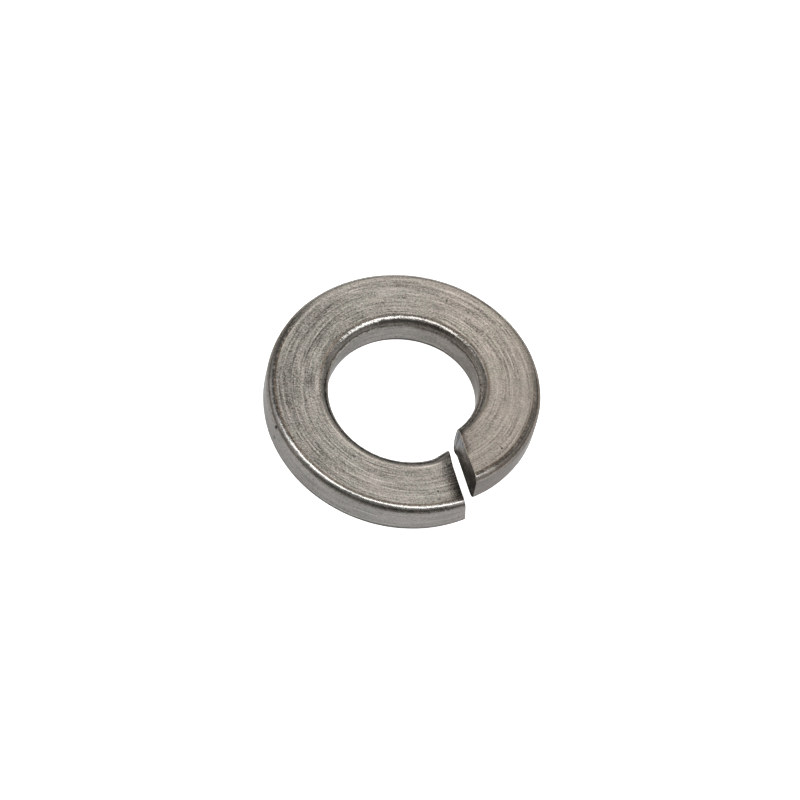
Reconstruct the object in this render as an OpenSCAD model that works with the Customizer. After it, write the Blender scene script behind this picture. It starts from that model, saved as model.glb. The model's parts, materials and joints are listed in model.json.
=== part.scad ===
// Spring lock washer: one turn of flat-sided wire, coiled, cut through and
// twisted open, so that its two ends stand one above the other at the split.
// The axis of the bore is Z, and the lowest edge of the coil lies at Z 0.
// The coil climbs clockwise seen from above, as it does for right-hand threads.

/* [Ring] */
// Diameter of the bore, a clearance on a 6 mm or 1/4 in screw
bore_d = 6.45; // [6:0.05:7.2]
// Diameter over the outside of the coil
outer_d = 12; // [11.2:0.1:13.2]

/* [Wire] */
// Thickness of the wire between its flat top and its flat underside
thick = 1.65; // [1.5:0.05:2.2]
// Radius of the two corners at the bore
inner_corner_r = 0.48; // [0.2:0.02:0.7]
// Radius of the two corners at the outside
outer_corner_r = 0.38; // [0.2:0.02:0.6]

/* [Coil] */
// Rise of the wire over a whole turn, which holds the two ends apart
rise = 1.75; // [1.3:0.05:3.4]

/* [Split] */
// Direction of the split about the axis, from +X
split_dir = -43; // [-80:1:-10]
// Width of the split between its faces at mid height of the wire
split_w = 0.11; // [0.05:0.01:1]
// Turn of both faces away from the radius, seen from above
split_skew = 18.5; // [0:0.5:25]
// Lean of the lower end's face away from the axis
low_end_lean = 9.5; // [0:0.5:14]
// Lean of the upper end's face away from the axis
high_end_lean = 2; // [0:0.5:14]

/* [Hidden] */
steel = [0.66, 0.63, 0.59];
// Facets of the round walls, steps of a corner and turns between rings of points
wall_facets = 180;
corner_steps = 5;
ring_turn = 4;
rings = round(360 / ring_turn);
// How far the swept wire reaches past the two round walls that trim it
overrun = 0.03;
// Passes that settle the turn at which a point of the wire meets its end face
settle_passes = 8;
bore_r = bore_d / 2;
outer_r = outer_d / 2;
mid_r = (bore_r + outer_r) / 2;
// Height of the straight trimming tube, more than the free height of the coil
tube_h = 2 * (rise + 2 * thick);

// Middles of the upper corners, as radius and height above the middle of the wire
outer_corner = [outer_r - outer_corner_r, thick / 2 - outer_corner_r];
inner_corner = [bore_r + inner_corner_r, thick / 2 - inner_corner_r];
// Outline of the wire in the same terms, anticlockwise from below the outside
wire = concat(
    trimmed_last(corner(outer_corner[0], -outer_corner[1], outer_corner_r, -90)),
    trimmed_first(corner(outer_corner[0], outer_corner[1], outer_corner_r, 0)),
    trimmed_last(corner(inner_corner[0], inner_corner[1], inner_corner_r, 90)),
    trimmed_first(corner(inner_corner[0], -inner_corner[1], inner_corner_r, 180))
);
// Turn at which each point of the outline meets the face of its end
low_turns = [for (p = wire) end_turn(p, split_w / 2, low_end_lean, settle_passes, 0)];
high_turns = [for (p = wire) end_turn(p, -split_w / 2, high_end_lean, settle_passes, 0) + 360];
// Lift that puts the lowest edge of the lower end at Z 0
lift = -min([for (j = [0 : len(wire) - 1]) wire[j][1] + rise * low_turns[j] / 360]);

// A quarter-round corner of the wire, anticlockwise from an angle
function corner(r, z, rad, start) = [for (k = [0 : corner_steps])
    let (a = start + 90 * k / corner_steps) [r + rad * cos(a), z + rad * sin(a)]];

// A corner whose end at a round wall is drawn on, in a straight line, past it
function trimmed_last(arc) = [for (k = [0 : corner_steps])
    k == corner_steps ? drawn_on(arc[k - 1], arc[k]) : arc[k]];
function trimmed_first(arc) = [for (k = [0 : corner_steps])
    k == 0 ? drawn_on(arc[1], arc[0]) : arc[k]];
function drawn_on(from, to) = to + (to - from) * overrun / abs(to[0] - from[0]);

// Turn at which a point of the wire meets a face of the split. The face is a
// plane: its sideways place grows with the radius by the skew and with the
// height above the middle of that end by the lean.
function end_turn(p, offset, lean, passes, turn) =
    passes == 0 ? turn :
    let (side = offset + (p[0] * cos(turn) - mid_r) * tan(split_skew)
        + (p[1] + rise * turn / 360) * tan(lean))
    end_turn(p, offset, lean, passes - 1, asin(side / p[0]));

// A point of the wire in space, after a turn from the split
function coiled(p, turn) = [
    p[0] * cos(split_dir - turn),
    p[0] * sin(split_dir - turn),
    p[1] + rise * turn / 360 + lift
];

module swept_wire() {
    count = len(wire);
    points = [for (i = [0 : rings], j = [0 : count - 1])
        coiled(wire[j], low_turns[j] + (high_turns[j] - low_turns[j]) * i / rings)];
    sides = [for (i = [0 : rings - 1], j = [0 : count - 1], half = [0, 1])
        let (a = i * count + j, b = i * count + (j + 1) % count)
        half == 0 ? [a, b, a + count] : [b, b + count, a + count]];
    low_face = [for (j = [0 : count - 1]) count - 1 - j];
    high_face = [for (j = [0 : count - 1]) rings * count + j];
    polyhedron(points, concat(sides, [low_face, high_face]), convexity = 4);
}

module round_walls() {
    rotate(split_dir) translate([0, 0, -tube_h / 4]) difference() {
        cylinder(h = tube_h, r = outer_r, $fn = wall_facets);
        translate([0, 0, -1]) cylinder(h = tube_h + 2, r = bore_r, $fn = wall_facets);
    }
}

module lock_washer() {
    color(steel) intersection() {
        swept_wire();
        round_walls();
    }
}

lock_washer();
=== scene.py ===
import json
import math

import bpy
from mathutils import Matrix, Vector


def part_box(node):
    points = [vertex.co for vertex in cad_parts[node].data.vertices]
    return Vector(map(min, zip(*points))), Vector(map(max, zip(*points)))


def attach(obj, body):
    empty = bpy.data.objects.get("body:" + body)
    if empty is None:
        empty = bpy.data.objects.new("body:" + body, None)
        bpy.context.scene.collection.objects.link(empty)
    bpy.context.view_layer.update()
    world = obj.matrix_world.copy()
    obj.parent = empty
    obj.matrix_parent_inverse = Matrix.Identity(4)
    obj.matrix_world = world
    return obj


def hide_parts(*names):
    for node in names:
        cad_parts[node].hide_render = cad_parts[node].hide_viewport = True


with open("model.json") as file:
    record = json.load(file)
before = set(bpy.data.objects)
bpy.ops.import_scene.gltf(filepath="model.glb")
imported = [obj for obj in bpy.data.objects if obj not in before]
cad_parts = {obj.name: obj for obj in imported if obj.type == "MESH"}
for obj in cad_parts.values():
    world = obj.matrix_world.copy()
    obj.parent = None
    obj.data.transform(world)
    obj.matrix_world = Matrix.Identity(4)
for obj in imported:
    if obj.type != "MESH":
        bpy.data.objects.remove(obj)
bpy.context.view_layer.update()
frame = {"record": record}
mm = 0.001
boxLow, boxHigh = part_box("lock_washer")
bore = next(mount for mount in frame["record"]["mounts"] if mount["name"] == "bore")
print("stage 1: the packed washer is loaded")


# The coil is shaped in millimetres, and shrunk to metres when it is finished
coil = {
    "outerRadius": (boxHigh.x - boxLow.x) / 2 / mm,
    "boreRadius": bore["dims"]["r_mm"],
    "thick": 1.65,
    "innerCorner": 0.48,
    "outerCorner": 0.38,
    "rise": 1.75,
    "splitDir": math.radians(-43),
    "splitWidth": 0.11,
    "splitSkew": math.radians(18.5),
    "lowLean": math.radians(9.5),
    "highLean": math.radians(2),
    "ringsPerTurn": 540,
    "spareRings": 20,     # swept past the split at each end, then cut away
    "cornerSegments": 10,
    "flatCuts": 23,
    "wallCuts": 9,
    "near": 0.001,        # how close a vertex lies to what it is picked by
    "passes": 8,          # that settle where a point of the wire meets its cut
}
coil["midRadius"] = (coil["boreRadius"] + coil["outerRadius"]) / 2
coil["innerFlat"] = coil["boreRadius"] + coil["innerCorner"]      # where the flat top meets its corners
coil["outerFlat"] = coil["outerRadius"] - coil["outerCorner"]


def faceTurn(radius, height, offset, lean):
    # turn at which a point of the wire meets a face of the split, as in the CAD
    turn = 0
    for _ in range(coil["passes"]):
        side = offset + (radius * math.cos(turn) - coil["midRadius"]) * math.tan(coil["splitSkew"])
        side += (height + coil["rise"] * turn / math.tau) * math.tan(lean)
        turn = math.asin(side / radius)
    return turn


# Height of the wire's middle where the coil starts: its lowest edge lies on the box's floor
lowEdgeTurn = faceTurn(coil["innerFlat"], -coil["thick"] / 2, coil["splitWidth"] / 2, coil["lowLean"])
coil["lift"] = coil["thick"] / 2 - coil["rise"] * lowEdgeTurn / math.tau


def deselectAll():
    if bpy.context.object and bpy.context.object.mode != "OBJECT":
        bpy.ops.object.mode_set(mode="OBJECT")
    bpy.ops.object.select_all(action="DESELECT")


def selectVerts(obj, wanted):
    # leaves edit mode on, with the vertices that pass the test selected
    bpy.ops.object.mode_set(mode="EDIT")
    bpy.ops.mesh.select_mode(type="VERT")
    bpy.ops.mesh.select_all(action="DESELECT")
    bpy.ops.object.mode_set(mode="OBJECT")
    for v in obj.data.vertices:
        v.select = bool(wanted(v))
    bpy.ops.object.mode_set(mode="EDIT")


def selectFaces(obj, wanted):
    # leaves edit mode on, with the faces that pass the test selected
    bpy.ops.object.mode_set(mode="EDIT")
    bpy.ops.mesh.select_mode(type="FACE")
    bpy.ops.mesh.select_all(action="DESELECT")
    bpy.ops.object.mode_set(mode="OBJECT")
    for f in obj.data.polygons:
        f.select = bool(wanted(f))
    bpy.ops.object.mode_set(mode="EDIT")


def applyLast(obj):
    bpy.ops.object.mode_set(mode="OBJECT")
    bpy.ops.object.modifier_apply(modifier=obj.modifiers[-1].name)


def wireOutline():
    # the section of the wire, standing in the XZ plane at its own radius
    wide = coil["outerRadius"] - coil["boreRadius"]
    half = coil["thick"] / 2
    near = coil["near"]
    deselectAll()
    bpy.ops.mesh.primitive_plane_add(size=1, location=(coil["midRadius"], 0, 0),
                                     rotation=(math.pi / 2, 0, 0))
    wire = bpy.context.object
    wire.name = "washer_coil"
    wire.scale = (wide, coil["thick"], 1)
    bpy.ops.object.transform_apply(location=True, rotation=True, scale=True)
    for atBore, corner in ((True, coil["innerCorner"]), (False, coil["outerCorner"])):
        selectVerts(wire, lambda v: (v.co.x < coil["midRadius"]) == atBore and abs(v.co.z) > half - near)
        bpy.ops.mesh.bevel(offset=corner, affect="VERTICES", segments=coil["cornerSegments"])
    bpy.ops.mesh.select_all(action="SELECT")
    bpy.ops.mesh.delete(type="ONLY_FACE")
    for level in (half, -half):
        selectVerts(wire, lambda v: abs(v.co.z - level) < near)
        bpy.ops.mesh.subdivide(number_cuts=coil["flatCuts"])
    for wall in (coil["boreRadius"], coil["outerRadius"]):
        selectVerts(wire, lambda v: abs(v.co.x - wall) < near)
        bpy.ops.mesh.subdivide(number_cuts=coil["wallCuts"])
    bpy.ops.object.mode_set(mode="OBJECT")
    return wire


ends = {
    "rimRadius": 0.035,
    "rimSteps": 3,
    "rimRing": 0.03,               # last flat ring, so that the face itself shades flat
    "rimMerge": 0.012,
    "onRim": 0.003,                # how close to the cut a vertex of its rim lies
    "cutMerge": 0.0001,
    "faceCorners": 30,             # only the cut faces have more corners than this
    "lowTipAt": 0.3,               # place of the pulled points, as a share of the bore's corner
    "lowTipGrab": 0.05,            # and how far to both sides of it they are taken
    "lowTipPull": (-0.06, 0.045, 0.13),   # draw of the low end's inner corner: outwards, along, up
    "lowTipReach": 0.8,
    "lowRoll": 0.018,              # fall of the low end's top along the outer half of the cut
    "lowRollReach": 0.35,
    "lowRollDepth": 0.1,           # below the top, and short of the flat's outer end, that it takes
    "lowRollInset": 0.2,
    "highRoll": 0.05,              # fall of the high end's top along the inner half of the cut
    "highRollReach": 0.3,
    "highRollFrom": 0.4,           # height above the wire's middle, as a share of the thickness
    "highCornerAt": 0.3,
    "highCornerPull": (0.02, 0.0, 0.03),
    "highCornerReach": 0.5,
    "highBurrAt": 0.65,
    "highBurrPull": (-0.02, -0.055, -0.03),   # the burr under the high end, at the bore
    "highBurrReach": 0.35,
    "highGrab": 0.06,
}


def cutPlane(upper):
    # a point of the cut and its normal, which points along the coil's descent
    offset = -coil["splitWidth"] / 2 if upper else coil["splitWidth"] / 2
    lean = coil["highLean"] if upper else coil["lowLean"]
    middle = coil["lift"] + (coil["rise"] if upper else 0)
    normal = Vector((math.tan(coil["splitSkew"]), 1, math.tan(lean))).normalized()
    return Vector((coil["midRadius"], -offset, middle)), normal


def cutFace(obj, ringSize, ringCount, upper):
    # cuts one end along its slanted plane, a little short of it, and fills it
    place, normal = cutPlane(upper)
    place = place + normal * (ends["rimRadius"] if upper else -ends["rimRadius"])
    reach = 3 * coil["spareRings"]     # rings that the slanted cut can pass through
    first = ringCount - reach if upper else 0
    last = ringCount if upper else reach
    selectVerts(obj, lambda v: first <= v.index // ringSize < last)
    bpy.ops.mesh.bisect(plane_co=place, plane_no=normal, use_fill=True, clear_inner=upper,
                        clear_outer=not upper, threshold=ends["cutMerge"])
    return place, normal


def onRim(p, place, normal):
    return abs((p - place).dot(normal)) < ends["onRim"]


def roundRim(obj, upper):
    # the cut face is lifted out in rings that follow a quarter circle
    # the level lies between the middles of the two cut faces
    level = coil["lift"] + coil["rise"] / 2 + coil["thick"] / 4
    selectFaces(obj, lambda f: len(f.vertices) > ends["faceCorners"] and (f.center.z > level) == upper)
    steps = ends["rimSteps"]
    for k in range(steps):
        near, far = (math.pi / 2 * (k + part) / steps for part in (0, 1))
        inwards = ends["rimRadius"] * (math.cos(near) - math.cos(far))
        outwards = ends["rimRadius"] * (math.sin(far) - math.sin(near))
        bpy.ops.mesh.inset(thickness=inwards, depth=outwards, use_even_offset=False)
    bpy.ops.mesh.inset(thickness=ends["rimRing"], depth=0, use_even_offset=False)
    obj.active_material_index = 1
    bpy.ops.object.material_slot_assign()


def pull(offset, reach, falloff):
    # only what hangs together with the selection follows it, and so never the other end
    bpy.ops.transform.translate(value=offset, use_proportional_edit=True, use_proportional_connected=True,
                                proportional_edit_falloff=falloff, proportional_size=reach)


def boreCorner(share):
    # the radius at that share of the corner between the bore and the flats
    return coil["boreRadius"] + coil["innerCorner"] * share


def shapeLowEnd(obj, place, normal):
    top = coil["lift"] + coil["thick"] / 2
    rollEnd = coil["outerFlat"] - ends["lowRollInset"]
    selectVerts(obj, lambda v: onRim(v.co, place, normal) and v.co.z > top - ends["lowRollDepth"]
                and coil["midRadius"] < v.co.to_2d().length < rollEnd)
    pull((0, 0, -ends["lowRoll"]), ends["lowRollReach"], "SHARP")
    tip = boreCorner(ends["lowTipAt"])
    selectVerts(obj, lambda v: onRim(v.co, place, normal) and v.co.z > coil["lift"]
                and abs(v.co.to_2d().length - tip) < ends["lowTipGrab"])
    pull(ends["lowTipPull"], ends["lowTipReach"], "SMOOTH")


def shapeHighEnd(obj, place, normal):
    middle = coil["lift"] + coil["rise"]
    rollStart = middle + coil["thick"] * ends["highRollFrom"]
    selectVerts(obj, lambda v: onRim(v.co, place, normal) and v.co.z > rollStart
                and v.co.to_2d().length < coil["midRadius"])
    pull((0, 0, -ends["highRoll"]), ends["highRollReach"], "SHARP")
    for name, low, high in (("highCorner", middle, middle + coil["thick"]),
                            ("highBurr", coil["rise"], middle)):
        radius = boreCorner(ends[name + "At"])
        selectVerts(obj, lambda v: onRim(v.co, place, normal) and low < v.co.z < high
                    and abs(v.co.to_2d().length - radius) < ends["highGrab"])
        pull(ends[name + "Pull"], ends[name + "Reach"], "SMOOTH")


wear = {
    "wave": (1.7, 0.016),       # size and height in millimetres of the slow unevenness
    "dent": (0.30, 0.0045),     # and of the small dents
    "rest": 0.9,                # level of the clouds that moves nothing, so that most places move inwards
    "sharpAngle": math.radians(32),
}


def roughen(obj, name, size, height):
    cloud = bpy.data.textures.new(name, "CLOUDS")
    cloud.noise_scale = size
    cloud.noise_depth = 1
    bpy.ops.object.modifier_add(type="DISPLACE")
    displace = obj.modifiers[-1]
    displace.texture = cloud
    displace.texture_coords = "LOCAL"
    displace.strength = height
    displace.mid_level = wear["rest"]
    applyLast(obj)


wire = wireOutline()
for slot in ("satin_steel", "sheared_steel"):
    wire.data.materials.append(bpy.data.materials.new(slot))
ringSize = len(wire.data.vertices)
ringCount = coil["ringsPerTurn"] + 2 * coil["spareRings"] + 1
bpy.ops.object.modifier_add(type="SCREW")
screw = wire.modifiers[-1]
screw.axis = "Z"
screw.angle = -math.tau * (ringCount - 1) / coil["ringsPerTurn"]
screw.screw_offset = coil["rise"] * (ringCount - 1) / coil["ringsPerTurn"]
screw.steps = screw.render_steps = ringCount - 1
screw.use_smooth_shade = True
applyLast(wire)
wire.rotation_euler.z = math.tau * coil["spareRings"] / coil["ringsPerTurn"]
wire.location.z = coil["lift"] - coil["rise"] * coil["spareRings"] / coil["ringsPerTurn"]
bpy.ops.object.transform_apply(location=True, rotation=True, scale=True)
print("stage 2: the wire is coiled,", ringSize, "points a ring")

# The upper end is cut first, so that the lower rings keep their numbers
highCut = cutFace(wire, ringSize, ringCount, True)
lowCut = cutFace(wire, ringSize, ringCount, False)
for cut in (highCut, lowCut):
    selectVerts(wire, lambda v: onRim(v.co, *cut))
    bpy.ops.mesh.remove_doubles(threshold=ends["rimMerge"])
bpy.ops.mesh.select_all(action="SELECT")
bpy.ops.mesh.normals_make_consistent(inside=False)
shapeLowEnd(wire, *lowCut)
shapeHighEnd(wire, *highCut)
roundRim(wire, False)
roundRim(wire, True)
roughen(wire, "slow_wave", *wear["wave"])
roughen(wire, "small_dents", *wear["dent"])
wire.rotation_euler.z = coil["splitDir"]
wire.scale = (mm, mm, mm)
bpy.ops.object.transform_apply(location=True, rotation=True, scale=True)
bpy.ops.object.shade_smooth_by_angle(angle=wear["sharpAngle"])
print("stage 3: the ends are cut,", len(wire.data.polygons), "faces")


class Signal:
    # a shader socket that takes part in sums
    def __init__(self, maker, socket):
        self.maker = maker
        self.socket = socket

    def math(self, operation, *others):
        return self.maker.node("ShaderNodeMath", {"operation": operation}, [self, *others])

    def __add__(self, other):
        return self.math("ADD", other)

    def __radd__(self, other):
        return self.math("ADD", other)

    def __sub__(self, other):
        return self.math("SUBTRACT", other)

    def __rsub__(self, other):
        return self.maker.node("ShaderNodeMath", {"operation": "SUBTRACT"}, [other, self])

    def __mul__(self, other):
        return self.math("MULTIPLY", other)

    def __rmul__(self, other):
        return self.math("MULTIPLY", other)

    def __truediv__(self, other):
        return self.math("DIVIDE", other)

    def size(self):
        return self.math("ABSOLUTE")

    def ramp(self, low, high):
        # 0 at low, 1 at high, smooth between them
        settings = {"interpolation_type": "SMOOTHSTEP", "clamp": True}
        return self.maker.node("ShaderNodeMapRange", settings, [self, low, high])


class Maker:
    # adds the nodes of one material
    def __init__(self, tree):
        self.tree = tree
        tree.nodes.clear()

    def node(self, kind, settings, values, output=0):
        made = self.tree.nodes.new(kind)
        for key, value in settings.items():
            setattr(made, key, value)
        pairs = values.items() if isinstance(values, dict) else enumerate(values)
        for key, value in pairs:
            if isinstance(value, Signal):
                self.tree.links.new(value.socket, made.inputs[key])
            else:
                made.inputs[key].default_value = value
        return Signal(self, made.outputs[output])

    def parts(self, vector):
        split = self.tree.nodes.new("ShaderNodeSeparateXYZ")
        self.tree.links.new(vector.socket, split.inputs[0])
        return [Signal(self, split.outputs[k]) for k in range(3)]

    def noise(self, x, y, z, detail, roughness=0.5):
        # cloud noise around 0, mostly within a quarter either way
        place = self.node("ShaderNodeCombineXYZ", {}, [x, y, z])
        values = {"Vector": place, "Scale": 1.0, "Detail": detail, "Roughness": roughness}
        return self.node("ShaderNodeTexNoise", {}, values, "Fac") - 0.5

    def blend(self, amount, one, other, kind="MIX"):
        settings = {"data_type": "RGBA", "blend_type": kind}
        return self.node("ShaderNodeMix", settings, {0: amount, 6: one, 7: other}, 2)

    def tinted(self, colour, tint):
        return self.blend(1.0, colour, tint, "MULTIPLY")

    def bump(self, relief, strength, height):
        # height in millimetres
        values = {"Strength": strength, "Distance": height * mm, "Height": relief}
        return self.node("ShaderNodeBump", {}, values)

    def finish(self, shader, kind="ShaderNodeOutputMaterial"):
        out = self.tree.nodes.new(kind)
        self.tree.links.new(shader.socket, out.inputs["Surface"])


def newMaker(name):
    material = bpy.data.materials.get(name) or bpy.data.materials.new(name)
    material.use_nodes = True
    return material, Maker(material.node_tree)


# The two ends are told apart by a slanted plane in the split, and streaks on the walls run
# on from those on the flats
places = {"partingSlope": 0.115, "partingShift": 0.1455, "wallShare": 0.9}


def coilPlaces(maker):
    # places on the wire in millimetres: its radius, its height above the wire's middle,
    # its distance across the section, its turn and its distance from the split
    place = maker.node("ShaderNodeTexCoord", {}, [], "Object")
    scaled = maker.node("ShaderNodeVectorMath", {"operation": "SCALE"}, {0: place, "Scale": 1 / mm})
    x, y, z = maker.parts(scaled)
    along = x * math.cos(coil["splitDir"]) + y * math.sin(coil["splitDir"])
    side = x * math.sin(coil["splitDir"]) - y * math.cos(coil["splitDir"])
    radius = (along * along + side * side).math("SQRT")
    bare = side.math("ARCTAN2", along)
    gap = bare * radius - (radius - coil["midRadius"]) * math.tan(coil["splitSkew"])
    upper = (gap - places["partingSlope"] * z + places["partingShift"]).math("LESS_THAN", 0)
    turn = bare + math.tau * upper
    height = z - turn * (coil["rise"] / math.tau) - coil["lift"]
    return {"place": scaled, "x": x, "y": y, "z": z, "radius": radius, "height": height,
            "turn": turn * (180 / math.pi), "cos": along / radius, "sin": side / radius,
            "gap": gap, "upper": upper, "across": radius + height * places["wallShare"]}


def arcs(maker, at, length, width, detail, shift):
    # streaks along the coil, of about that length and width in millimetres
    turns = coil["midRadius"] / length
    return maker.noise(at["cos"] * turns + shift, at["sin"] * turns, at["across"] / width, detail)


def grains(maker, at, size, detail, shift):
    # spots of about that size in millimetres
    return maker.noise(at["x"] / size + shift, at["y"] / size, at["z"] / size, detail)


# Colours, gloss and relief
steel = {
    "flat": (0.461, 0.432, 0.393, 1),      # scratched flats
    "corner": (0.30, 0.285, 0.262, 1),     # rounded corners, which are smoother
    "worn": (0.66, 0.64, 0.61, 1),         # painted highlight: corners made brighter where the softboxes are mirrored, outside in front and at the bore behind
    "band": (0.175, 0.162, 0.146, 1),      # grime with painted shade along the middle of the corners, where they mirror the dark side of the studio
    "outerWall": (0.1445, 0.138, 0.1315, 1),
    "innerWall": (0.132, 0.126, 0.118, 1),
    "smear": (0.155, 0.166, 0.160, 1),     # painted shade on top of the low end, by its cut
    "brown": (0.50, 0.41, 0.335, 1),       # what tarnish and the painted shade leave of the colour
    "warm": (1.04, 0.995, 0.97, 1),        # tint of the right side
    "green": (0.965, 1.01, 0.98, 1),       # the fine play of tints in the scratches
    "pink": (1.035, 0.99, 1.02, 1),
    "specularTint": (0.6, 0.6, 0.6, 1),
    "flatRoughness": 0.25,
    "wallRoughness": 0.36,
    "cornerRoughness": 0.22,
    "fineRoughness": 0.2,                  # what scratches, grain, tarnish and the lower corners add
    "grainRoughness": 0.15,
    "dirtRoughness": 0.1,
    "underRoughness": 0.4,
    "underDull": 0.9,                      # how far the lower corners lose their metal shine, for their painted shade
    "fineRelief": 0.6,
    "thinRelief": 0.5,
    "grainRelief": 0.8,
    "edgeRelief": 0.3,                     # how much of that relief the corners lose
    "innerDents": 4.0,
    "outerDents": 1.5,
    "bump": 0.6,
    "bumpHeight": 0.01,
}

# Streaks along the coil: length, width, detail and shift. Grains: size, detail and shift.
streaks = {
    "fine": (1.6, 0.075, 2, 0),
    "thin": (2.6, 0.11, 1, 7),
    "broad": (12.0, 0.35, 2, 3),
    "rub": (1.2, 0.22, 1, 23),
}
specks = {
    "grain": (0.075, 2, 0),
    "patch": (1.1, 2, 5),
    "cloudy": (4.0, 1, 11),
    "speck": (0.10, 1, 17),
    "dents": (0.22, 2, 31),
    "tints": (0.11, 1, 53),
    "stained": (0.16, 1, 61),
    "lined": (0.14, 1, 67),
}

# Parts of the coil, by their turn from the split in degrees: a part comes in over the
# first pair and goes out over the second
stretches = {
    "lowEnd": ((60, 25),),
    "leftSide": ((40, 100), (240, 190)),
    "leftCorner": ((80, 105), (190, 150)),
    "innerTrack": ((45, 68), (180, 140)),
    "backSide": ((165, 190), (245, 215)),
    "rightSide": ((200, 270),),
    "nearEnd": ((265, 320),),
    "stained": ((322, 340), (357.5, 355)),
    "beforeTip": ((354.5, 351),),
}

# Finishes, painted highlight and painted shade on the wire's section. A pair leads from a height above or
# below the wire's middle where there is none of it to the height where it is full.
section = {
    "outerBlend": 0.10,            # width of the change from the flat to a corner
    "innerBlend": -0.12,
    "outerWall": (0.69, 0.53),
    "innerWall": (0.62, 0.42),
    "outerBand": (0.79, 0.71),
    "innerBand": (0.795, 0.735),
    "outerBandWander": 0.08,       # how far patches shift the bands
    "innerBandWander": 0.12,
    "outerBandFade": 0.15,         # how much fainter the bands are near the high end
    "innerBandFade": 0.6,
    "outerUnder": ((-0.43, -0.50), (-0.80, -0.68)),     # the lower corners, dulled and darkened as painted shade
    "innerUnder": ((-0.34, -0.44), (-0.78, -0.64)),
    "outerWorn": (0.05, -0.45),    # from the near side of the ring, -1, to the far side, 1
    "innerWorn": (0.2, 0.6),
    "nearEndWorn": 0.85,
    "trackRadii": (4.7, 4.3),
}


def stretch(at, name):
    # how far a place lies in one of the parts of the coil
    masks = [at["turn"].ramp(*pair) for pair in stretches[name]]
    return masks[0] * masks[1] if len(masks) > 1 else masks[0]


def steelNoise(maker, at):
    noise = {name: arcs(maker, at, *values) for name, values in streaks.items()}
    noise.update({name: grains(maker, at, *values) for name, values in specks.items()})
    return noise


def steelMasks(at, noise):
    # where each finish, painted highlight and painted shade lies, on the section and around the coil
    mask = {name: stretch(at, name) for name in stretches}
    high = at["height"].size()
    farSide = at["y"] / at["radius"]
    for side in ("outer", "inner"):
        flatEnd = coil[side + "Flat"]
        mask[side] = at["radius"].ramp(flatEnd, flatEnd + section[side + "Blend"])
        mask[side + "Wall"] = mask[side] * high.ramp(*section[side + "Wall"])
        mask[side + "Corner"] = mask[side] * (1 - mask[side + "Wall"])
        # the bands: grime with painted shade below the corners' highlight
        bandHigh = high + noise["patch"] * section[side + "BandWander"]
        bandFade = 1 - section[side + "BandFade"] * mask["nearEnd"]
        mask[side + "Band"] = mask[side] * bandHigh.ramp(*section[side + "Band"]) * bandFade
        # the lower corners: painted shade
        upperSide, lowerSide = section[side + "Under"]
        mask[side + "Under"] = mask[side] * at["height"].ramp(*upperSide) * at["height"].ramp(*lowerSide)
    mask["edge"] = mask["outer"] + mask["inner"]
    mask["band"] = mask["outerBand"] + mask["innerBand"]
    mask["under"] = mask["outerUnder"] + mask["innerUnder"]
    mask["lowWall"] = mask["lowEnd"] * mask["outerWall"]
    track = at["radius"].ramp(*section["trackRadii"]) * (1 - mask["edge"])
    mask["innerTrack"] = mask["innerTrack"] * track
    # painted highlight: the outer corner brightened on the ring's near side and the bore's corner on its
    # far side, less at the high end except at its tip
    unboosted = section["nearEndWorn"] * mask["nearEnd"] * mask["beforeTip"]
    mask["worn"] = mask["outer"] * farSide.ramp(*section["outerWorn"]) * (1 - unboosted)
    mask["worn"] = mask["worn"] + mask["inner"] * farSide.ramp(*section["innerWorn"])
    return mask, high, farSide


# How much each kind of noise and each part of the coil changes the steel's brightness
tones = {
    "grainy": 0.95, "grainyClouds": 0.8, "grainyLeft": 0.25, "grainyNearEnd": -0.4,
    "fine": 1.9, "grain": 2.2, "broad": 0.95, "patch": 0.3,
    "brightScratch": 0.50, "brightFrom": (0.12, 0.24),
    "darkScratch": 0.34, "darkFrom": (-0.13, -0.25),
    "nearEndCalm": 0.5, "edgeCalm": 0.35,
    "leftSide": 0.09, "rightSide": -0.07, "nearEnd": -0.08, "backSide": 0.08,
    "lowWall": 0.12, "innerTrack": 0.26,
}


def steelTone(mask, noise):
    # brighter and darker places, around 0
    grainy = tones["grainy"] + tones["grainyClouds"] * noise["cloudy"]
    grainy = grainy + tones["grainyLeft"] * mask["leftSide"] + tones["grainyNearEnd"] * mask["nearEnd"]
    tone = (noise["fine"] * tones["fine"] + noise["grain"] * tones["grain"]) * grainy
    tone = tone + noise["broad"] * tones["broad"] + noise["patch"] * tones["patch"]
    scratches = noise["thin"].ramp(*tones["brightFrom"]) * tones["brightScratch"]
    scratches = scratches - noise["thin"].ramp(*tones["darkFrom"]) * tones["darkScratch"]
    tone = tone + scratches * (1 - tones["nearEndCalm"] * mask["nearEnd"])
    tone = tone * (1 - tones["edgeCalm"] * mask["edge"])
    for name in ("leftSide", "rightSide", "nearEnd", "backSide", "lowWall", "innerTrack"):
        tone = tone + tones[name] * mask[name]
    return tone


def patchy(noise, contrast, share):
    # noise as a mask that breaks up what it multiplies
    return (noise * contrast + share).ramp(0, 1)


# Tarnish and painted shade: a thin line beside the flats, tarnish with painted shade of the crease; painted
# shade on the outer corner behind and the inner one in front; tarnish at the high end's outside and along
# its cut
tarnishAndShade = {
    "outerLine": (0.01, 0.065, 0.02),      # shift from the flat's end, and half the width, soft and full
    "innerLine": (-0.04, 0.075, 0.02),
    "outerLineFade": (-0.1, 0.5),          # where it fades, from the near side, -1, to the far side, 1
    "innerLineFade": (0.2, -0.5),
    "lineFade": 0.75,
    "lineBroad": 1.5, "lineShare": 0.8, "lineFrom": (0.2, 0.9),
    "outerAged": (0.80, 0.72),             # heights, as for the bands
    "innerAged": (0.72, 0.60),
    "outerAgedSide": (-0.3, 0.2),
    "innerAgedSide": (0.3, -0.2),
    "stainHigh": (0.62, 0.74),
    "stainPatchy": (4, 0.6),
    "rimGap": (-0.21, -0.13),
    "rimRadii": (4.9, 4.4),
    "rimPatchy": (3, 0.6),
    "line": 0.85, "aged": 0.55, "stain": 0.3, "rim": 0.7,
}


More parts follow.
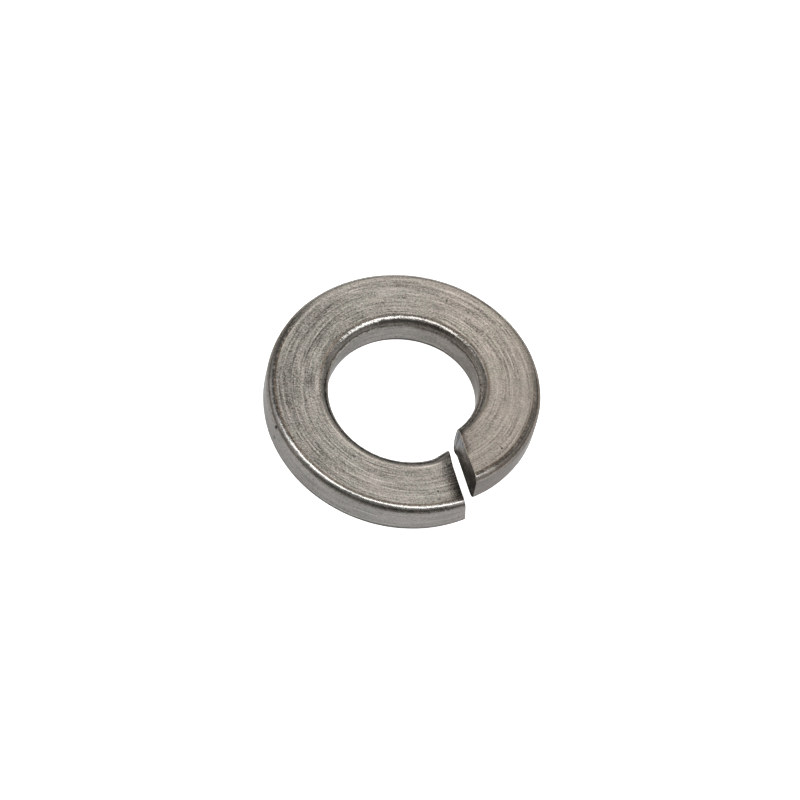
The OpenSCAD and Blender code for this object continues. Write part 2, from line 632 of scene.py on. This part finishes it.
def steelTarnishAndShade(at, mask, noise, high, farSide):
    line, aged = 0, 0
    # the crease line is tarnish with painted shade; the edge shade is painted shade on the outer corner
    # behind and the inner one in front
    for side in ("outer", "inner"):
        shift, soft, full = tarnishAndShade[side + "Line"]
        oneLine = (at["radius"] - (coil[side + "Flat"] + shift)).size().ramp(soft, full)
        line = oneLine * (1 - tarnishAndShade["lineFade"] * farSide.ramp(*tarnishAndShade[side + "LineFade"])) + line
        oneEdgeShade = mask[side + "Corner"] * high.ramp(*tarnishAndShade[side + "Aged"])
        aged = oneEdgeShade * farSide.ramp(*tarnishAndShade[side + "AgedSide"]) + aged
    unevenly = noise["broad"] * tarnishAndShade["lineBroad"] + noise["fine"] + tarnishAndShade["lineShare"]
    line = line * unevenly.ramp(*tarnishAndShade["lineFrom"])
    stain = mask["outer"] * high.ramp(*tarnishAndShade["stainHigh"]) * mask["stained"]
    stain = stain * patchy(noise["stained"], *tarnishAndShade["stainPatchy"])
    rim = at["gap"].ramp(*tarnishAndShade["rimGap"]) * at["upper"] * at["radius"].ramp(*tarnishAndShade["rimRadii"])
    rim = rim * patchy(noise["grain"], *tarnishAndShade["rimPatchy"])
    total = line * tarnishAndShade["line"] + aged * tarnishAndShade["aged"]
    total = total + stain * tarnishAndShade["stain"] + rim * tarnishAndShade["rim"]
    return total.math("MINIMUM", 1)


# Painted shade on top of the low end, darker towards its cut, by the distance from the cut and the radius
rub = {
    "gap": (0.62, 0.12),
    "radii": (4.45, 5.1),
    "streaks": 1.8,
    "cutGap": (0.4, 0.1),      # where it is darker still
    "cutExtra": 0.4,
    "strength": 0.6,
    "most": 0.72,
}


def steelShadeByCut(at, mask, noise):
    smear = at["gap"].ramp(*rub["gap"]) * (1 - at["upper"]) * at["radius"].ramp(*rub["radii"])
    streaky = 1 + noise["rub"] * rub["streaks"] + at["gap"].ramp(*rub["cutGap"]) * rub["cutExtra"]
    smear = smear * streaky * (1 - mask["outer"])
    return (smear * rub["strength"]).math("MINIMUM", rub["most"]).math("MAXIMUM", 0)


# Single pits: turn in degrees, radius and height above the wire's middle, and size
pits = [
    (101.75, 5.97, 0.60, 0.12), (100.75, 5.99, 0.0, 0.13), (236.75, 4.9, 0.825, 0.075),
    (343.25, 5.32, 0.825, 0.075), (276.75, 3.3, 0.38, 0.08), (15.75, 5.02, 0.825, 0.06),
    (342.7, 4.98, 0.825, 0.04), (342.8, 5.06, 0.825, 0.04), (342.9, 5.14, 0.825, 0.04),
    (343.05, 5.23, 0.825, 0.04),
]
pitFloor = 0.4      # share of a pit's size that is wholly dark


def steelPits(maker, at):
    total = 0
    for turn, radius, height, size in pits:
        way = coil["splitDir"] - math.radians(turn)
        place = (radius * math.cos(way), radius * math.sin(way),
                 height + coil["rise"] * turn / 360 + coil["lift"])
        away = maker.node("ShaderNodeVectorMath", {"operation": "DISTANCE"}, [at["place"], place], "Value")
        total = away.ramp(size, size * pitFloor) + total
    return total


# What is darkened, and how much: dark specks and the pits, and as painted shade a line on the outer corner,
# the lower corners, the bore's corner in front and the outer corner at the left
blacks = {
    "speckFrom": (0.16, 0.26), "speckOnFlat": 0.4, "speckOnEdge": 0.6,
    "lineAt": 0.05, "lineWidth": (0.12, 0.03), "linePatchy": (3, 0.7),
    "frontBoreSide": (0.1, -0.4),
    "speck": 0.45, "pit": 0.8, "under": 0.88, "line": 0.5, "frontBore": 0.4, "leftCorner": 0.35,
    "most": 0.92,
}


def steelBlack(maker, at, mask, noise, farSide):
    speck = noise["speck"].ramp(*blacks["speckFrom"])
    speck = speck * (blacks["speckOnFlat"] + blacks["speckOnEdge"] * mask["edge"])
    # painted shade: a broken line on the outer corner, and the whole band at the low end
    line = (at["radius"] - (coil["outerFlat"] + blacks["lineAt"])).size().ramp(*blacks["lineWidth"])
    line = line * (mask["nearEnd"] + mask["leftCorner"])
    line = line + mask["outerBand"] * (1 - mask["outerWall"]) * mask["lowEnd"]
    line = line * patchy(noise["lined"], *blacks["linePatchy"])
    black = speck * blacks["speck"] + steelPits(maker, at) * blacks["pit"]
    black = black + mask["under"] * blacks["under"] + line * blacks["line"]
    # painted shade on the bore's corner in front and on the outer corner at the left
    black = black + mask["innerCorner"] * farSide.ramp(*blacks["frontBoreSide"]) * blacks["frontBore"]
    black = black + mask["outerCorner"] * mask["leftCorner"] * blacks["leftCorner"]
    return black.math("MINIMUM", blacks["most"]).math("MAXIMUM", 0)


# Where the steel leans to green and where to pink
tints = {"grain": 2.2, "patch": 1.2, "share": 0.5}


def steelMaterial():
    _, maker = newMaker("satin_steel")
    at = coilPlaces(maker)
    noise = steelNoise(maker, at)
    mask, high, farSide = steelMasks(at, noise)
    dirtAndShade = steelTarnishAndShade(at, mask, noise, high, farSide)
    smear = steelShadeByCut(at, mask, noise)
    black = steelBlack(maker, at, mask, noise, farSide)

    colour = maker.blend(mask["edge"], steel["flat"], steel["corner"])
    # painted highlight on the corners, grime with painted shade in the bands, then the walls
    for name in ("worn", "band", "outerWall", "innerWall"):
        colour = maker.blend(mask[name], colour, steel[name])
    colour = maker.blend(mask["rightSide"], colour, maker.tinted(colour, steel["warm"]))
    tint = noise["tints"] * tints["grain"] + noise["patch"] * tints["patch"] + tints["share"]
    colour = maker.tinted(colour, maker.blend(tint.ramp(0, 1), steel["green"], steel["pink"]))
    level = (1 + steelTone(mask, noise)) * (1 - black)
    colour = maker.node("ShaderNodeVectorMath", {"operation": "SCALE"}, {0: colour, "Scale": level})
    # painted shade on the low end's top
    colour = maker.blend(smear, colour, steel["smear"])
    # tarnish, and painted shade on the crease and on the corners that face away
    colour = maker.blend(dirtAndShade, colour, maker.tinted(colour, steel["brown"]))

    rough = steel["flatRoughness"] + (steel["cornerRoughness"] - steel["flatRoughness"]) * mask["edge"]
    walls = mask["outerWall"] + mask["innerWall"]
    rough = rough + (steel["wallRoughness"] - steel["cornerRoughness"]) * walls
    rough = rough + noise["fine"] * steel["fineRoughness"] + noise["grain"] * steel["grainRoughness"]
    rough = rough + dirtAndShade * steel["dirtRoughness"] + mask["under"] * steel["underRoughness"]

    relief = noise["fine"] * steel["fineRelief"] + noise["thin"] * steel["thinRelief"]
    relief = relief + noise["grain"] * steel["grainRelief"]
    relief = relief * (1 - steel["edgeRelief"] * mask["edge"]) * (1 - smear)
    dented = mask["inner"] * steel["innerDents"] + mask["outer"] * steel["outerDents"]
    bump = maker.bump(relief + noise["dents"] * dented, steel["bump"], steel["bumpHeight"])
    maker.finish(maker.node("ShaderNodeBsdfPrincipled", {}, {
        "Base Color": colour, "Metallic": 1 - mask["under"] * steel["underDull"], "Roughness": rough,
        "Normal": bump, "Specular Tint": steel["specularTint"]}))


# The cut faces: torn dark metal with streaks, and a burnished corner at the high end's bore.
# Its streaks: sizes across and up the face, a shift for the high end, detail and roughness.
sheared = {
    "dark": (0.07, 0.064, 0.058, 1),
    "light": (0.33, 0.30, 0.27, 1),
    "dull": (0.065, 0.065, 0.067, 1),
    "bright": (0.225, 0.2255, 0.226, 1),
    "torn": (1.1, 0.30, 9, 3, 0.6),
    "upright": (0.15, 1.1, 5, 2, 0.5),
    "grain": (0.16, 2, 41),
    "middleFrom": (-0.55, 0.35), "middleTo": (0.9, 0.5), "middleRadii": (5.6, 4.4),
    "tone": 0.10, "toneMiddle": 0.5, "toneTorn": 2.2, "toneGrain": 1.2,
    "burnishedWidth": 0.22,        # at the foot of the face, from the bore
    "burnishedFoot": 0.8,
    "burnishedSlope": 0.58,
    "burnishedWander": 0.9,
    "burnishedBlend": (-0.05, 0.06),
    "shine": 0.45, "shineUpright": 6, "shineGrain": 1.5,
    "roughness": 0.42,
    "grainRelief": 0.8,
    "bump": 0.8,
    "bumpHeight": 0.02,
}


def shearedMaterial():
    _, maker = newMaker("sheared_steel")
    at = coilPlaces(maker)

    def faceNoise(name):
        across, up, shift, detail, roughness = sheared[name]
        return maker.noise(at["radius"] / across, at["height"] / up, at["upper"] * shift, detail, roughness)

    torn, upright = faceNoise("torn"), faceNoise("upright")
    grain = grains(maker, at, *sheared["grain"])
    middle = at["height"].ramp(*sheared["middleFrom"]) * at["height"].ramp(*sheared["middleTo"])
    middle = middle * at["radius"].ramp(*sheared["middleRadii"])
    tone = sheared["tone"] + middle * sheared["toneMiddle"]
    tone = tone + torn * sheared["toneTorn"] + grain * sheared["toneGrain"]
    colour = maker.blend(tone.ramp(0, 1), sheared["dark"], sheared["light"])
    edgeAt = (at["height"] + sheared["burnishedFoot"]) * sheared["burnishedSlope"]
    edgeAt = edgeAt + (coil["boreRadius"] + sheared["burnishedWidth"])
    burnished = edgeAt - at["radius"] + upright * sheared["burnishedWander"]
    burnished = burnished.ramp(*sheared["burnishedBlend"]) * at["upper"]
    shine = sheared["shine"] + upright * sheared["shineUpright"] + grain * sheared["shineGrain"]
    shiny = maker.blend(shine.ramp(0, 1), sheared["dull"], sheared["bright"])
    colour = maker.blend(burnished, colour, shiny)
    relief = torn + grain * sheared["grainRelief"] + upright * burnished
    maker.finish(maker.node("ShaderNodeBsdfPrincipled", {}, {
        "Base Color": colour, "Metallic": 1.0, "Roughness": sheared["roughness"],
        "Normal": maker.bump(relief, sheared["bump"], sheared["bumpHeight"]),
        "Specular Tint": steel["specularTint"]}))


steelMaterial()
shearedMaterial()
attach(wire, "root")
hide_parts("lock_washer")
print("stage 4: the steel is on")


# The surface it rests on, tilted as it meets the coil's low end and the underside across from it
floor = {
    "normal": Vector((0.0424, -0.0990, 0.9942)),
    "size": 6.0,
    "colour": (0.9, 0.9, 0.9, 1),
    "roughness": 0.8,
    "glow": 0.98,
}


def makeFloor():
    up = floor["normal"].normalized()
    lowest = min(up.dot(v.co) for v in wire.data.vertices)
    deselectAll()
    bpy.ops.mesh.primitive_plane_add(size=floor["size"])
    ground = bpy.context.object
    ground.name = "floor"
    ground.rotation_mode = "QUATERNION"
    ground.rotation_quaternion = up.to_track_quat("Z", "Y")
    ground.location = up * lowest
    material, maker = newMaker("pale_table")
    maker.finish(maker.node("ShaderNodeBsdfPrincipled", {}, {
        "Base Color": floor["colour"], "Roughness": floor["roughness"],
        "Emission Color": floor["colour"], "Emission Strength": floor["glow"]}))
    ground.data.materials.append(material)


makeFloor()

# The photo's view: a long lens, turned a little about its own axis
view = {
    "elevation": math.radians(55.33),
    "roll": math.radians(-15.176),
    "distance": 0.18175,
    "pixelsPerMm": 22.8907,
    "centreX": 401.187,       # where the middle of the coil lies in the frame
    "centreY": 396.371,
    "frame": 800,
    "sensor": 36,
    "clip": (0.01, 20),
}


def makeCamera():
    back = Vector((0, -math.cos(view["elevation"]), math.sin(view["elevation"])))
    right = Vector((1, 0, 0))
    up = back.cross(right)
    turnedRight = right * math.cos(view["roll"]) - up * math.sin(view["roll"])
    turnedUp = right * math.sin(view["roll"]) + up * math.cos(view["roll"])
    aim = Vector((0, 0, (coil["lift"] + coil["rise"] / 2) * mm))
    data = bpy.data.cameras.new("camera")
    camera = bpy.data.objects.new("camera", data)
    bpy.context.scene.collection.objects.link(camera)
    turn = Matrix((turnedRight, turnedUp, back)).transposed().to_4x4()
    camera.matrix_world = Matrix.Translation(aim + back * view["distance"]) @ turn
    focalPixels = view["pixelsPerMm"] / mm * view["distance"]
    data.sensor_width = view["sensor"]
    data.lens = data.sensor_width * focalPixels / view["frame"]
    data.shift_x = (view["frame"] / 2 - view["centreX"]) / view["frame"]
    data.shift_y = (view["centreY"] - view["frame"] / 2) / view["frame"]
    data.clip_start, data.clip_end = view["clip"]
    bpy.context.scene.camera = camera


makeCamera()

# Two softboxes overhead and a glow that is brightest behind the washer. The angles run
# from the camera's side of the horizon, over the top, to the far side.
studio = {
    "tint": (1.0, 0.985, 0.96, 1),
    "nearGlow": 0.20,
    "nearHorizonGlow": 0.85,
    "nearHorizonEnd": (2, 42),
    "farGlow": 0.94,
    "farGlowStart": (114.5, 125),
    "farGlowEnd": (150, 172),
    "sideFall": (0.35, 0.65),      # where the far glow ends at the sides
    "sideGlow": 0.75,
    "sideGlowStart": (0.50, 0.85),
    "horizonGlow": 0.08,
    "backdrop": 1.05,              # what is seen past the table
    "softboxGlow": 2.2,
    "softboxDepth": 0.14,
    "softboxSpans": [(-0.36, -0.012), (0.012, 0.40)],
    "softboxHeight": 0.5,
    "fillGlow": 2.2,
    "fillSize": 0.8,
    "fillPlace": (0.0, 0.0, 0.7),
}


def addSoftbox(name, place, width, depth, glow):
    lamp = bpy.data.lights.new(name, "AREA")
    lamp.shape = "RECTANGLE"
    lamp.size = width
    lamp.size_y = depth
    lamp.energy = glow * math.pi * width * depth
    box = bpy.data.objects.new(name, lamp)
    box.location = place
    bpy.context.scene.collection.objects.link(box)
    return box


def makeStudio():
    world = bpy.data.worlds.new("studio")
    bpy.context.scene.world = world
    world.use_nodes = True
    maker = Maker(world.node_tree)
    x, y, z = maker.parts(maker.node("ShaderNodeTexCoord", {}, [], "Generated"))
    angle = z.math("ARCTAN2", y * -1) * (180 / math.pi)
    near = angle.ramp(*reversed(studio["nearHorizonEnd"]))
    far = angle.ramp(*studio["farGlowStart"]) * (1 - x.size().ramp(*studio["sideFall"]))
    beside = x.size().ramp(*studio["sideGlowStart"]) * (1 - near)
    horizon = angle.ramp(*studio["farGlowEnd"])
    level = studio["nearGlow"] + (studio["nearHorizonGlow"] - studio["nearGlow"]) * near
    level = level + (studio["sideGlow"] - studio["nearGlow"]) * beside
    level = level + (studio["farGlow"] - studio["nearGlow"]) * far
    level = level + (studio["horizonGlow"] - level) * horizon
    seen = maker.node("ShaderNodeLightPath", {}, [], "Is Camera Ray")
    level = level + (studio["backdrop"] - level) * seen
    glow = maker.node("ShaderNodeBackground", {}, {"Color": studio["tint"], "Strength": level})
    maker.finish(glow, "ShaderNodeOutputWorld")
    for number, (left, right) in enumerate(studio["softboxSpans"]):
        place = ((left + right) / 2, 0.0, studio["softboxHeight"])
        addSoftbox(f"softbox_{number}", place, right - left, studio["softboxDepth"], studio["softboxGlow"])
    side = studio["fillSize"]
    fill = addSoftbox("fill", studio["fillPlace"], side, side, studio["fillGlow"])
    fill.visible_glossy = False     # it lights the table and isn't mirrored in the steel


makeStudio()
bpy.context.scene.view_settings.view_transform = "Standard"
print("stage 5: floor, camera and studio are in place")
